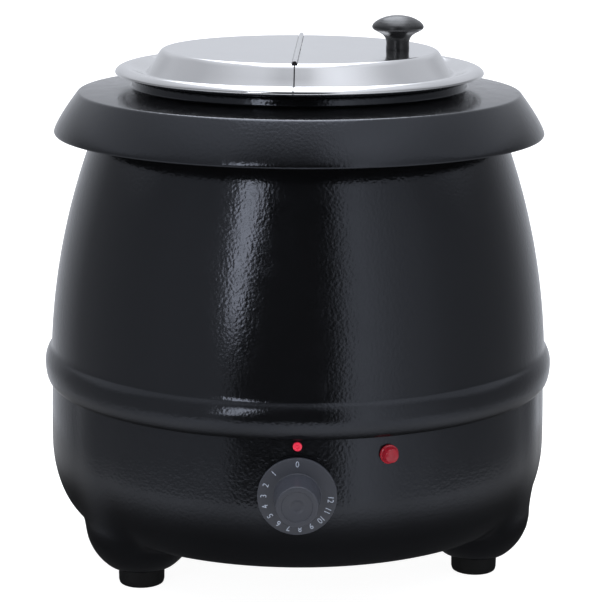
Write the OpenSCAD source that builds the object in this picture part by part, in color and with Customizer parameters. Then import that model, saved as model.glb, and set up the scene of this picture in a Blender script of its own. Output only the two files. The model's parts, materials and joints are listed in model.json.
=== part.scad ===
/* [Body] */
// Widest radius of the steel walls
body_r = 171.4; // [170.9:0.1:171.8]
// Thickness of the black steel sheet
sheet = 1.2; // [1.0:0.1:1.3]
// Height of the underside of the lower shell's floor
floor_z = 34.7; // [34.4:0.1:35]
// Height at which the lower shell is widest
waist_z = 84; // [80:1:86]
// How far the lower shell draws in at its bottom corner
draw_in = 27; // [26.5:0.1:27.5]
// Radius of the access opening in the floor
access_r = 84; // [82:0.5:85]
// Radius of the curve of the barrel, seen from the side
barrel_arc = 465; // [460:1:470]

/* [Joint bead] */
// Height of the lower edge of the bead
bead_z = 126.3; // [126:0.1:127]
// Height of the bead itself
bead_h = 23.6; // [22.5:0.1:24]
// How far the bead stands out from the wall
bead_out = 3.9; // [3.4:0.1:4.2]

/* [Brim] */
// Largest radius of the brim
brim_r = 166.8; // [166.2:0.1:167]
// Height of the brim's lower edge
brim_z = 296.5; // [296:0.1:298]
// Height of the brim's shoulder
shoulder_z = 324.4; // [324.2:0.1:325]
// Outer radius of the collar that carries the pot
collar_r = 112.7; // [112.5:0.1:112.9]
// Height of the collar's top edge
collar_z = 335; // [334.6:0.1:335.1]

/* [Legs and feet] */
// Distance of each leg from the centre line
leg_at = 132; // [131:0.5:133]
// Radius of each drawn leg
leg_r = 37.2; // [36:0.1:37.4]
// Radius of a rubber foot
foot_r = 15.5; // [14:0.5:17]
// Height of a rubber foot
foot_h = 12; // [11.5:0.1:12.4]

/* [Water well and soup pot] */
// Outer radius of the water well
well_r = 120; // [119.5:0.1:120.2]
// Height of the underside of the water well
well_z = 59; // [59:0.1:62]
// Outer radius of the soup pot
pot_r = 109; // [107:0.1:109.2]
// Height of the underside of the soup pot
pot_z = 70; // [69:0.5:80]
// Thickness of the stainless sheet of pot and well
steel = 1; // [0.8:0.1:1]

/* [Lid] */
// Height of the lid's flat top
lid_z = 352.4; // [352:0.1:353]
// Radius of the lid's flat top
lid_top_r = 93.7; // [93:0.1:94]
// Thickness of the lid sheet
lid_t = 0.8; // [0.6:0.1:0.9]
// Turn of the lid about the centre line
lid_turn = -1.4; // [-3:0.1:0]
// Offset of the hinge line from the centre line
hinge_off = -1; // [-2:0.1:0]
// Radius of the hinge knuckles
knuckle_r = 1.65; // [1.5:0.05:1.7]
// Number of hinge knuckles, an odd number
knuckles = 17; // [9:2:21]
// Distance of the knob from the centre line
knob_at = 66.35; // [60:0.05:70]

/* [Controls] */
// Height of the dial's axis
dial_z = 90.2; // [88:0.1:92]
// Radius of the dial's skirt
dial_r = 25.1; // [24:0.1:26]
// How far the dial's grip stands out from the skirt
grip_h = 21.6; // [20:0.1:23]
// Height of the pilot lamp
lamp_z = 114.7; // [113:0.1:116]
// Place of the pilot lamp round the shell, in degrees from the front
lamp_az = 19.6; // [18:0.1:30]
// Height of the dial's index pip
pip_z = 121.9; // [121.5:0.1:122.5]

/* [Hidden] */
$fn = 120;

// Bearings of the three legs, in degrees from the front
leg_az = [-52.6, 67.4, 187.4];
// Bearing of the cable gland and its height
gland_az = 140;
gland_z = 72;
// Bearings of the four brim studs
stud_az = [45, 135, 225, 315];
stud_at = 126;
// Height of the well's flange, resting on the barrel's flange
flange_z = 316.2;
gasket_z = flange_z + steel;
gasket_top = 324.2;
// Axis height of the lid hinge
hinge_z = lid_z + 0.05;
hinge_gap = knuckle_r + 0.3;
hinge_l = 2 * lid_top_r - 1.4;
knuckle_l = hinge_l / knuckles;
pin_r = 0.8;
// Radius of the heating ring and of its tube
ring_r = 70;
tube_r = 3.8;
ring_z = well_z - tube_r - 0.1;

function unit(v) = v / norm(v);
function left(v) = [-v[1], v[0]];
function rev(p) = [for (i = [len(p) - 1:-1:0]) p[i]];
function arc(cx, cz, r, a0, a1, n) =
    [for (i = [0:n]) let (a = a0 + (a1 - a0) * i / n) [cx + r * cos(a), cz + r * sin(a)]];
// A line moved sideways by t, to its left, with mitred corners
function moved(p, t) = [for (i = [0:len(p) - 1])
    let (a = i > 0 ? unit(p[i] - p[i - 1]) : unit(p[1] - p[0]),
         b = i < len(p) - 1 ? unit(p[i + 1] - p[i]) : a,
         m = unit(left(a) + left(b)))
    p[i] + m * t / (m * left(a))];
// A pressed sheet turned about the centre line
module pressing(p, t) { rotate_extrude() polygon(concat(p, rev(moved(p, t)))); }
// Puts local +Z along a bearing, pointing outwards
module at_bearing(a, z) { rotate([0, 0, a]) translate([0, 0, z]) rotate([90, 0, 0]) children(); }
module at_leg(i) { rotate([0, 0, leg_az[i]]) translate([0, -leg_at, 0]) children(); }
module hexagon(r, h, bore) {
    difference() {
        cylinder(r = r, h = h, $fn = 6);
        translate([0, 0, -1]) cylinder(r = bore, h = h + 2);
    }
}
// A pan-head screw, head below z = 0 and shank above
module pan_screw(r, l, head_r, head_h) {
    difference() {
        union() {
            cylinder(r = r, h = l);
            translate([0, 0, -head_h]) cylinder(r1 = head_r * 0.86, r2 = head_r, h = head_h * 0.4);
            translate([0, 0, -head_h * 0.6]) cylinder(r = head_r, h = head_h * 0.6);
        }
        for (a = [0, 90]) rotate([0, 0, a])
            translate([-head_r * 0.6, -head_r * 0.13, -head_h - 1]) cube([head_r * 1.2, head_r * 0.26, 1 + head_h * 0.55]);
    }
}

// ---- lower shell ----
function lower_r(z) = z < waist_z
    ? body_r - draw_in + draw_in * sqrt(1 - pow((waist_z - z) / 52, 2))
    : body_r - 0.9 * pow((z - waist_z) / 47, 2);
lower_zs = [36.2, 37.4, 39, 41, 43.5, 46.5, 50, 54, 58.5, 63.5, 69, 76, 84, 92, 100, 108, 116, 124, 131, 143];
module lower_body(d) {
    rotate_extrude() polygon(concat(
        [[0, floor_z + d], [lower_r(36.2) - 3 - d, floor_z + d], [lower_r(36.2) - 1.2 - d, floor_z + 0.5 + d]],
        [for (z = lower_zs) if (z > floor_z + 0.9 + d) [lower_r(min(z, 131)) - d, z + (z == 143 ? d : 0)]],
        [[0, 143 + d]]));
}
module leg_form(d) {
    r = leg_r - d;
    zc = foot_h + 31.6;
    a = asin((31.6 - (d > 0 ? 1.5 : 0)) / r);
    rotate_extrude() polygon(concat(
        [[0, zc - r * sin(a)]], arc(0, zc, r, -a, 0, 9), [[r, 76 + d], [0, 76 + d]]));
}
module lower_shell() {
    color([0.10, 0.10, 0.105]) difference() {
        union() {
            lower_body(0);
            for (i = [0:2]) at_leg(i) leg_form(0);
        }
        lower_body(sheet);
        for (i = [0:2]) at_leg(i) leg_form(sheet);
        translate([0, 0, floor_z - 5]) cylinder(r = access_r, h = 10);
        for (i = [0:2]) at_leg(i) cylinder(r = 2.2, h = 20);
        for (a = [45:90:315]) rotate([0, 0, a]) translate([88, 0, floor_z - 5]) cylinder(r = 1.65, h = 10);
        at_bearing(0, dial_z) translate([0, 0, 160]) cylinder(r = 5.2, h = 20);
        for (s = [-1, 1]) at_bearing(0, dial_z) translate([14 * s, 0, 160]) cylinder(r = 2.1, h = 20);
        at_bearing(lamp_az, lamp_z) translate([0, 0, 160]) cylinder(r = 5.05, h = 20);
        at_bearing(0, pip_z) translate([0, 0, 160]) cylinder(r = 1.4, h = 20);
        at_bearing(gland_az, gland_z) translate([0, 0, 155]) cylinder(r = 8.05, h = 25);
    }
}

// ---- upper shell, with the joint bead rolled into its lower edge ----
function barrel_r(z) = body_r - barrel_arc + sqrt(pow(barrel_arc, 2) - pow(z - 128, 2));
bead_top = bead_z + bead_h;
bead_wide = bead_z + 12.7;
upper_line = concat(
    [[body_r + 0.8, bead_z]],
    [for (a = [-72:18:0]) [body_r + 0.3 + (bead_out - 0.3) * cos(a), bead_wide + 12.7 * sin(a)]],
    [for (a = [15:15:90]) [body_r - 0.4 + (bead_out + 0.4) * pow(cos(min(a, 89.9)), 0.7), bead_wide + (bead_top - bead_wide) * a / 90]],
    [for (z = [158:8:310]) [barrel_r(z), z]],
    [[barrel_r(314), 314], [barrel_r(314) - 1.8, flange_z], [well_r + 1, flange_z]]);
module upper_shell() {
    color([0.11, 0.11, 0.115]) difference() {
        pressing(upper_line, sheet);
        for (a = stud_az) rotate([0, 0, a]) translate([0, -stud_at, flange_z - 5]) cylinder(r = 2.2, h = 10);
    }
}

// ---- brim with its collar ----
top_rise = 0.08;
brim_line = concat(
    [[brim_r - 0.3, brim_z], [brim_r, brim_z + 1]],
    [for (i = [1:8]) [brim_r - 15 * pow(i / 8, 1.25), brim_z + 1 + (shoulder_z - brim_z - 3.4) * i / 8]],
    [[brim_r - 16.1, shoulder_z - 0.9], [brim_r - 16.7, shoulder_z - 0.38], [brim_r - 17.45, shoulder_z - 0.12],
     [collar_r + 2.2, shoulder_z - 0.12 + top_rise * (brim_r - 19.65 - collar_r)],
     [collar_r + 1.15, collar_z - 7.3], [collar_r + 0.75, collar_z - 6.2], [collar_r, collar_z]]);
module brim() { color([0.12, 0.12, 0.125]) pressing(brim_line, sheet); }
module brim_gasket() {
    color([0.35, 0.35, 0.36]) difference() {
        rotate_extrude() translate([well_r + 1, 0]) polygon([[0, gasket_z], [9.5, gasket_z], [9.5, gasket_top], [0, gasket_top + 9.5 * top_rise]]);
        for (a = stud_az) rotate([0, 0, a]) translate([0, -stud_at, 300]) cylinder(r = 2.3, h = 40);
    }
}
module brim_studs() {
    color("silver") for (a = stud_az) rotate([0, 0, a]) translate([0, -stud_at, 306]) cylinder(r = 2, h = 18.7);
}
module brim_nuts() {
    color("silver") for (a = stud_az) rotate([0, 0, a]) translate([0, -stud_at, flange_z - sheet - 3.2]) hexagon(4, 3.2, 2.03);
}

// ---- water well, soup pot ----
well_line = concat(
    [[0, well_z]], arc(well_r - 9, well_z + 9, 9, -90, 0, 6),
    [[well_r, flange_z], [well_r + 10.5, flange_z]]);
module water_well() {
    color([0.72, 0.72, 0.73]) difference() {
        pressing(well_line, steel);
        for (a = stud_az) rotate([0, 0, a]) translate([0, -stud_at, flange_z - 5]) cylinder(r = 2.2, h = 10);
    }
}
pot_line = concat(
    [[0, pot_z]], arc(pot_r - 14, pot_z + 14, 14, -90, 0, 7),
    [[pot_r, collar_z - 1.6], [pot_r + 0.5, collar_z - 0.4], [pot_r + 1.6, collar_z + 0.2], [pot_r + 6, collar_z + 0.2]]);
module soup_pot() {
    color([0.78, 0.78, 0.79]) rotate_extrude() {
        polygon(concat(pot_line, rev(moved(pot_line, steel))));
        translate([pot_r + 7.5, collar_z + 1.9]) circle(r = 2.9);
    }
}

// ---- heating parts under the well ----
module heating_element() {
    color([0.45, 0.42, 0.40]) translate([0, 0, ring_z]) rotate([0, 0, 64])
        rotate_extrude(angle = 332) translate([ring_r, 0]) circle(r = tube_r);
}
module element_terminals() {
    color([0.85, 0.82, 0.75]) for (s = [-1, 1]) rotate([0, 0, 50 + 14 * s]) translate([ring_r, 0.1 * -s, ring_z]) rotate([90 * s, 0, 0]) {
        cylinder(r = 3.6, h = 7);
        cylinder(r = 1.2, h = 11);
    }
}
module element_clamp() {
    color([0.66, 0.66, 0.67]) difference() {
        union() {
            translate([0, 0, ring_z - tube_r - 2.1]) cylinder(r = 80, h = 2);
            translate([0, 0, ring_z - tube_r - 2.1]) rotate_extrude() translate([78.4, 0]) square([1.6, 5]);
        }
        translate([0, 0, 30]) cylinder(r = 3.3, h = 30);
        // Way out for the two leads
        rotate([0, 0, 50]) translate([72, -16, ring_z - tube_r]) cube([20, 32, 20]);
    }
}
module centre_stud() { color("silver") translate([0, 0, 27]) cylinder(r = 3, h = well_z - 27 - 0.02); }
module clamp_nut() { color("silver") translate([0, 0, ring_z - tube_r - 2.1 - 5.1]) hexagon(5.5, 5, 3.03); }
module base_plate() {
    color([0.13, 0.13, 0.135]) difference() {
        translate([0, 0, floor_z - 1.5]) cylinder(r = 92, h = 1.48);
        translate([0, 0, 20]) cylinder(r = 3.3, h = 30);
        for (a = [45:90:315]) rotate([0, 0, a]) translate([88, 0, 20]) cylinder(r = 1.8, h = 30);
        for (a = [0:30:330]) rotate([0, 0, a]) {
            translate([38, -2, 20]) cube([32, 4, 30]);
            translate([38, 0, 20]) cylinder(r = 2, h = 30);
            translate([70, 0, 20]) cylinder(r = 2, h = 30);
        }
    }
}
module base_plate_nut() { color("silver") translate([0, 0, floor_z - 1.5 - 5.05]) hexagon(5.5, 5, 3.03); }
module base_screws() {
    color("silver") for (a = [45:90:315]) rotate([0, 0, a]) translate([88, 0, floor_z - 1.52]) pan_screw(1.6, 7, 3.1, 2.2);
}

// ---- feet ----
module foot() {
    color([0.07, 0.07, 0.07]) difference() {
        rotate_extrude() polygon([[0, 0], [foot_r - 1.5, 0], [foot_r - 0.75, 0.35], [foot_r - 0.3, 1.1], [foot_r - 0.15, 2.6], [foot_r, foot_h - 0.6], [foot_r - 0.6, foot_h], [0, foot_h]]);
        translate([0, 0, -1]) cylinder(r = 5.5, h = 6);
        translate([0, 0, -1]) cylinder(r = 2.2, h = 20);
    }
}
module foot_left() { at_leg(0) foot(); }
module foot_right() { at_leg(1) foot(); }
module foot_rear() { at_leg(2) foot(); }
module foot_screws() { color("silver") for (i = [0:2]) at_leg(i) translate([0, 0, 5]) pan_screw(2, 13.5, 4.2, 2.6); }
module foot_nuts() { color("silver") for (i = [0:2]) at_leg(i) translate([0, 0, foot_h + 1.52]) hexagon(4.2, 3.2, 2.03); }

// ---- controls ----
module thermostat() {
    color([0.80, 0.78, 0.72]) at_bearing(0, dial_z) difference() {
        union() {
            translate([-22, -12, 166.4]) cube([44, 24, 2.05]);
            translate([-18, -17, 142]) cube([36, 34, 24.5]);
            for (s = [-1, 1]) translate([s * 9 - 3.1, 9, 135]) cube([6.2, 0.8, 7.5]);
        }
        translate([0, 0, 150]) cylinder(r = 3.05, h = 30);
        for (s = [-1, 1]) translate([14 * s, 0, 150]) cylinder(r = 2.04, h = 30);
    }
}
module thermostat_screws() {
    color("silver") for (s = [-1, 1]) at_bearing(0, dial_z) translate([14 * s, 0, 171.15]) rotate([180, 0, 0]) pan_screw(2, 9, 3.6, 1.7);
}
dial_line = [[3.06, 172.2 + 1.4], [21.6, 172.2 + 1.4], [22.6, 172.2], [dial_r - 0.3, 172.2], [dial_r, 172.6], [dial_r, 174.3],
             [dial_r - 0.6, 174.9], [15.2, 174.9], [14.5, 175.5], [13.2, 174.9 + grip_h - 1], [12.3, 174.9 + grip_h],
             [9.9, 174.9 + grip_h], [9.6, 174.9 + grip_h - 0.7], [3.6, 174.9 + grip_h - 0.9], [2.4, 174.9 + grip_h - 1.8], [0, 174.9 + grip_h - 2.2],
             [0, 190.2], [3.06, 190.2]];
module control_dial() {
    color([0.29, 0.31, 0.34]) at_bearing(0, dial_z) union() {
        rotate_extrude() polygon(dial_line);
        translate([-2.4, 2.15, 178]) cube([4.8, 1.6, 12.5]);
    }
}
module dial_shaft() {
    color("silver") at_bearing(0, dial_z) difference() {
        translate([0, 0, 150.3]) cylinder(r = 3, h = 39.6);
        translate([-4, 2.1, 177.8]) cube([8, 4, 20]);
    }
}
module lamp_lens() {
    color([0.75, 0.05, 0.08]) at_bearing(lamp_az, lamp_z) rotate_extrude()
        polygon([[0, 170.9], [5.0, 170.9], [5.0, 171.55], [6.1, 171.55], [6.2, 172.6], [5.7, 173.3], [4.6, 177.3], [3.9, 178.1], [0, 178.6]]);
}
module lamp_body() {
    color([0.85, 0.85, 0.82]) at_bearing(lamp_az, lamp_z) union() {
        translate([0, 0, 148]) cylinder(r = 4.95, h = 22.85);
        for (s = [-1, 1]) translate([-1.4, s * 2.4 - 0.4, 141]) cube([2.8, 0.8, 8]);
    }
}
module lamp_nut() { color([0.75, 0.75, 0.73]) at_bearing(lamp_az, lamp_z) translate([0, 0, 165.2]) hexagon(7.6, 4.2, 4.98); }
module index_pip() {
    color([0.8, 0.08, 0.1]) at_bearing(0, pip_z) rotate_extrude()
        polygon([[0, 167.5], [1.35, 167.5], [1.35, 170.95], [2.9, 170.95], [2.9, 171.7], [2.4, 172.3], [1.6, 172.3], [1.3, 171.7], [0, 171.7]]);
}

// ---- sensing bulb with its capillary tube, cut-out ----
// A round tube swept along points, as one solid
module tube(path, r, n) {
    m = len(path);
    pts = [for (i = [0:m - 1])
        let (t = unit(i == 0 ? path[1] - path[0] : i == m - 1 ? path[i] - path[i - 1] : path[i + 1] - path[i - 1]),
             u = unit(cross(t, [0.58, -0.57, 0.58])), v = cross(t, u))
        for (k = [0:n - 1]) path[i] + r * (cos(360 * k / n) * u + sin(360 * k / n) * v)];
    faces = concat([[for (k = [0:n - 1]) k]],
        [for (i = [0:m - 2]) for (k = [0:n - 1]) let (j = (k + 1) % n) [i * n + k, (i + 1) * n + k, (i + 1) * n + j, i * n + j]],
        [[for (k = [n - 1:-1:0]) (m - 1) * n + k]]);
    polyhedron(points = pts, faces = faces);
}
// Points of a smooth curve through control points
function curve(p, s) = [for (i = [0:len(p) - 2]) for (k = [0:s - 1])
    let (a = p[max(i - 1, 0)], b = p[i], c = p[i + 1], d = p[min(i + 2, len(p) - 1)], u = k / s)
    0.5 * (2 * b + (c - a) * u + (2 * a - 5 * b + 4 * c - d) * u * u + (3 * b - a - 3 * c + d) * u * u * u)];
function along(p, s) = concat(curve(p, s), [p[len(p) - 1]]);
bulb_az = -30;
bulb_at = well_r + 3.3;
bulb_x = bulb_at * sin(bulb_az);
bulb_y = -bulb_at * cos(bulb_az);
module capillary_bulb() {
    color([0.72, 0.45, 0.30]) {
        translate([bulb_x, bulb_y, 72]) cylinder(r = 3, h = 76);
        tube(along([[-10, -152, 73.1], [-10, -152, 64], [-16, -149, 57], [-34, -137, 53], [-52, -121, 54], [bulb_x, bulb_y, 62], [bulb_x, bulb_y, 71.98]], 5), 0.9, 8);
    }
}
module bulb_clips() {
    color("silver") for (z = [84, 126]) difference() {
        translate([bulb_x, bulb_y, z]) cylinder(r = 4.1, h = 9);
        translate([bulb_x, bulb_y, z - 1]) cylinder(r = 3.03, h = 11);
        translate([0, 0, z - 2]) cylinder(r = well_r + 0.02, h = 13);
    }
}
module thermal_cutout() {
    color([0.15, 0.15, 0.16]) translate([-34, 22, 0]) {
        translate([0, 0, 42]) cylinder(r = 8, h = ring_z - tube_r - 2.1 - 42.05);
        for (s = [-1, 1]) translate([s * 5 - 0.4, -3, 36.5]) cube([0.8, 6, 5.6]);
    }
}
module terminal_block() {
    color([0.88, 0.87, 0.83]) rotate([0, 0, 140]) translate([0, -113, 0]) difference() {
        translate([-18, -8, floor_z + sheet + 0.05]) cube([36, 16, 15]);
        for (i = [-1, 0, 1]) {
            translate([i * 11, 0, 45]) cylinder(r = 2.2, h = 10);
            translate([i * 11, -12, 41.5]) rotate([-90, 0, 0]) cylinder(r = 1.7, h = 24);
        }
    }
}
module terminal_screws() {
    color([0.8, 0.7, 0.4]) rotate([0, 0, 140]) translate([0, -113, 0])
        for (i = [-1, 0, 1]) translate([i * 11, 0, 45.05]) cylinder(r = 2.15, h = 3.6);
}
// Leads from the terminal block and the ring to the thermostat and the lamp
lead_r = 1.1;
lamp_x = 139.5 * sin(lamp_az);
lamp_y = -139.5 * cos(lamp_az);
module internal_wires() {
    color([0.75, 0.35, 0.15])
        tube(along([[66.8, 79.6, 41.5], [64.9, 76.1, 42.2], [67.4, 69.8, 47.5], [79.6, 62.2, 53.5], [122, 56, 56], [138, 10, 60], [126, -52, 84], [80, -112, 96], [34, -131, 99.6], [9, -133.2, 99.6]], 6), lead_r, 8);
    color([0.2, 0.35, 0.7])
        tube(along([[-9, -133.2, 99.6], [-20, -128.8, 112], [20, -127.6, 124], [lamp_x, lamp_y, 120], [lamp_x, lamp_y, 117.6]], 6), lead_r, 8);
    color([0.85, 0.85, 0.8]) for (s = [-1, 1]) rotate([0, 0, 50])
        tube(along([[76, 4.5 * s, ring_z], [84, 5.5 * s, ring_z], [92, 8 * s, 52], [98, 10.5 * s, 44], [103.5, 11 * s, 41.5]], 5), lead_r, 8);
}
module earth_stud() { color([0.8, 0.7, 0.4]) rotate([0, 0, 112]) translate([0, -108, floor_z + sheet + 0.02]) cylinder(r = 2, h = 14); }
module earth_nuts() {
    color([0.8, 0.7, 0.4]) rotate([0, 0, 112]) translate([0, -108, floor_z + sheet + 0.05]) {
        hexagon(4.1, 3.2, 2.03);
        translate([0, 0, 4.2]) hexagon(4.1, 3.2, 2.03);
    }
}

// ---- cable gland ----
module gland_body() {
    color([0.08, 0.08, 0.08]) at_bearing(gland_az, gland_z) difference() {
        union() {
            translate([0, 0, 158]) cylinder(r = 7.9, h = 16);
            translate([0, 0, 171.7]) cylinder(r = 11.2, h = 5, $fn = 6);
            translate([0, 0, 176]) cylinder(r = 8.4, h = 6);
        }
        translate([0, 0, 150]) cylinder(r = 4.3, h = 40);
    }
}
module gland_seal() { color([0.25, 0.25, 0.26]) at_bearing(gland_az, gland_z) translate([0, 0, 182.1]) difference() {
    cylinder(r = 6.7, h = 5.8);
    translate([0, 0, -1]) cylinder(r = 3.75, h = 8);
} }
module gland_cap() {
    color([0.08, 0.08, 0.08]) at_bearing(gland_az, gland_z) rotate_extrude()
        polygon([[8.5, 176.9], [10.6, 176.9], [10.6, 184], [9.6, 187.2], [7.4, 190], [6.4, 190.4], [4.8, 190.4], [4.8, 188.1], [6.8, 188.1], [6.8, 182.1], [8.5, 182.1]]);
}
module gland_locknut() { color([0.08, 0.08, 0.08]) at_bearing(gland_az, gland_z) translate([0, 0, 162.8]) hexagon(11.4, 4.5, 7.95); }

// ---- lid ----
lid_line = concat(
    [[124.9, 336.7], [125.1, 337.6], [124.3, 338.6]],
    [for (a = [35:18.5:128]) [118.4 + 7.2 * cos(a), 335.9 + 5.1 * sin(a)]],
    [[108, 337.6], [105.8, 336.6], [104.4, 336.5], [103.4, 337.3],
     [lid_top_r + 1.3, lid_z - 2.2], [lid_top_r + 0.3, lid_z - 1], [lid_top_r - 1.2, lid_z - 0.2], [lid_top_r - 2.6, lid_z], [0, lid_z]]);
module in_lid() { rotate([0, 0, lid_turn]) translate([hinge_off, 0, 0]) children(); }
// s is +1 for the flap and -1 for the fixed half; x = 0 is the hinge line
module half_lid(s) {
    difference() {
        translate([-hinge_off, 0, 0]) pressing(lid_line, lid_t);
        translate([s > 0 ? -200 : -0.4, -200, 300]) cube([200.4, 400, 100]);
        translate([-hinge_gap, -lid_top_r - 0.3, lid_z - 3]) cube([2 * hinge_gap, 2 * lid_top_r + 0.6, 10]);
        for (y = [-75:30:75]) translate([s * 7.5, y, 340]) cylinder(r = 1.22, h = lid_z - 0.3 - 340);
        if (s > 0) translate([knob_at - hinge_off, 0, 340]) cylinder(r = 2.15, h = 30);
    }
}
// One leaf of the hinge: a strip under the lid with every second knuckle
module leaf(s) {
    z0 = lid_z - lid_t - 0.72 - hinge_z;
    translate([0, 0, hinge_z]) difference() {
        union() {
            intersection() {
                translate([-hinge_off, 0, -5]) cylinder(r = lid_top_r - 3.5, h = 10);
                union() {
                    translate([s > 0 ? hinge_gap + 0.05 : -11, -hinge_l / 2, z0]) cube([11 - hinge_gap - 0.05, hinge_l, 0.7]);
                    for (i = [0:knuckles - 1]) if (i % 2 == (s > 0 ? 1 : 0))
                        translate([s > 0 ? 0.3 : -3, -hinge_l / 2 + i * knuckle_l + 0.15, z0]) cube([2.7, knuckle_l - 0.3, 0.7]);
                }
            }
            for (i = [0:knuckles - 1]) if (i % 2 == (s > 0 ? 1 : 0))
                translate([0, -hinge_l / 2 + i * knuckle_l + 0.15, 0]) rotate([-90, 0, 0]) cylinder(r = knuckle_r, h = knuckle_l - 0.3, $fn = 48);
        }
        translate([0, -hinge_l, 0]) rotate([-90, 0, 0]) cylinder(r = pin_r + 0.05, h = 2 * hinge_l, $fn = 48);
        for (y = [-75:30:75]) translate([s * 7.5, y, -10]) cylinder(r = 1.22, h = 30);
    }
}
module leaf_rivets(s) {
    for (y = [-75:30:75]) translate([s * 7.5, y, 0]) {
        translate([0, 0, lid_z - lid_t - 1.3]) cylinder(r = 1.2, h = lid_t + 1.3 - 0.32);
        translate([0, 0, lid_z - lid_t - 1.4]) cylinder(r1 = 1.5, r2 = 2.1, h = 0.62);
    }
}
module lid_fixed_half() { color([0.80, 0.80, 0.81]) in_lid() half_lid(-1); }
module lid_flap() { color([0.82, 0.82, 0.83]) in_lid() half_lid(1); }
module hinge_leaf_fixed() { color([0.70, 0.70, 0.71]) in_lid() leaf(-1); }
module hinge_leaf_flap() { color([0.72, 0.72, 0.73]) in_lid() leaf(1); }
module hinge_pin() {
    color("silver") in_lid() translate([0, -hinge_l / 2 - 0.2, hinge_z]) rotate([-90, 0, 0]) cylinder(r = pin_r, h = hinge_l + 0.4);
}
module hinge_rivets_fixed() { color("silver") in_lid() leaf_rivets(-1); }
module hinge_rivets_flap() { color("silver") in_lid() leaf_rivets(1); }
module knob() {
    color([0.07, 0.07, 0.075]) in_lid() translate([knob_at - hinge_off, 0, lid_z + 0.02]) difference() {
        rotate_extrude() polygon([[0, 0], [7.9, 0], [8.1, 0.8], [7.7, 3.2], [7.7, 6], [8.3, 8.4], [9.9, 10.4], [12.4, 11.8], [15.2, 12.8], [16.9, 13.7],
            [17.6, 15.1], [17.2, 16.7], [15.8, 18.3], [13.2, 20.1], [9.6, 21.6], [5, 22.6], [0, 23]]);
        translate([0, 0, -1]) cylinder(r = 2.03, h = 14);
    }
}
module knob_screw() {
    color("silver") in_lid() translate([knob_at - hinge_off, 0, lid_z - lid_t - 0.85]) pan_screw(2, 12, 3.9, 2.2);
}
module knob_washer() {
    color("silver") in_lid() translate([knob_at - hinge_off, 0, lid_z - lid_t - 0.83]) difference() {
        cylinder(r = 5, h = 0.8);
        translate([0, 0, -1]) cylinder(r = 2.15, h = 3);
    }
}

lower_shell();
upper_shell();
brim();
brim_gasket();
brim_studs();
brim_nuts();
water_well();
heating_element();
element_terminals();
element_clamp();
centre_stud();
clamp_nut();
base_plate();
base_plate_nut();
base_screws();
foot_left();
foot_right();
foot_rear();
foot_screws();
foot_nuts();
thermostat();
thermostat_screws();
capillary_bulb();
bulb_clips();
thermal_cutout();
terminal_block();
terminal_screws();
internal_wires();
earth_stud();
earth_nuts();
lamp_lens();
lamp_body();
lamp_nut();
index_pip();
gland_body();
gland_seal();
gland_cap();
gland_locknut();
control_dial();
dial_shaft();
soup_pot();
lid_fixed_half();
hinge_leaf_fixed();
hinge_pin();
hinge_rivets_fixed();
lid_flap();
hinge_leaf_flap();
hinge_rivets_flap();
knob();
knob_screw();
knob_washer();
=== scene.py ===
import json
import math

import bmesh
import bpy
import numpy as np
from mathutils import Matrix, Vector


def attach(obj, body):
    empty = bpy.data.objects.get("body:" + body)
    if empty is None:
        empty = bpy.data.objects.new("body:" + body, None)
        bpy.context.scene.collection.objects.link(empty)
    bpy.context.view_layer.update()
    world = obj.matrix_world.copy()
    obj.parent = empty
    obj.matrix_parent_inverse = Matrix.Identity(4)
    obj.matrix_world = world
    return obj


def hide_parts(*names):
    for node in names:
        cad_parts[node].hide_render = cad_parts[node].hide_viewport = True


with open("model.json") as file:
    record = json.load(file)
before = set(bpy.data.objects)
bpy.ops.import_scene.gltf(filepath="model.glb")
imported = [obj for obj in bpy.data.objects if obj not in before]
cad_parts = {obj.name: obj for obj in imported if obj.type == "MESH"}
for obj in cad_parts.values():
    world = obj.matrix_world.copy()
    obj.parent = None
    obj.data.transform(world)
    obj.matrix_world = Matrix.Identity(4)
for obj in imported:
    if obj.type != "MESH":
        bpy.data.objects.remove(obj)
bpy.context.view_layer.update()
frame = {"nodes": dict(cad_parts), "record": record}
NODES = frame["nodes"]
MM = 0.001
SCENE = bpy.context.scene


# ------------------------------------------------------------------ materials
def rgba(c):
    return (c[0], c[1], c[2], 1.0)


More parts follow.
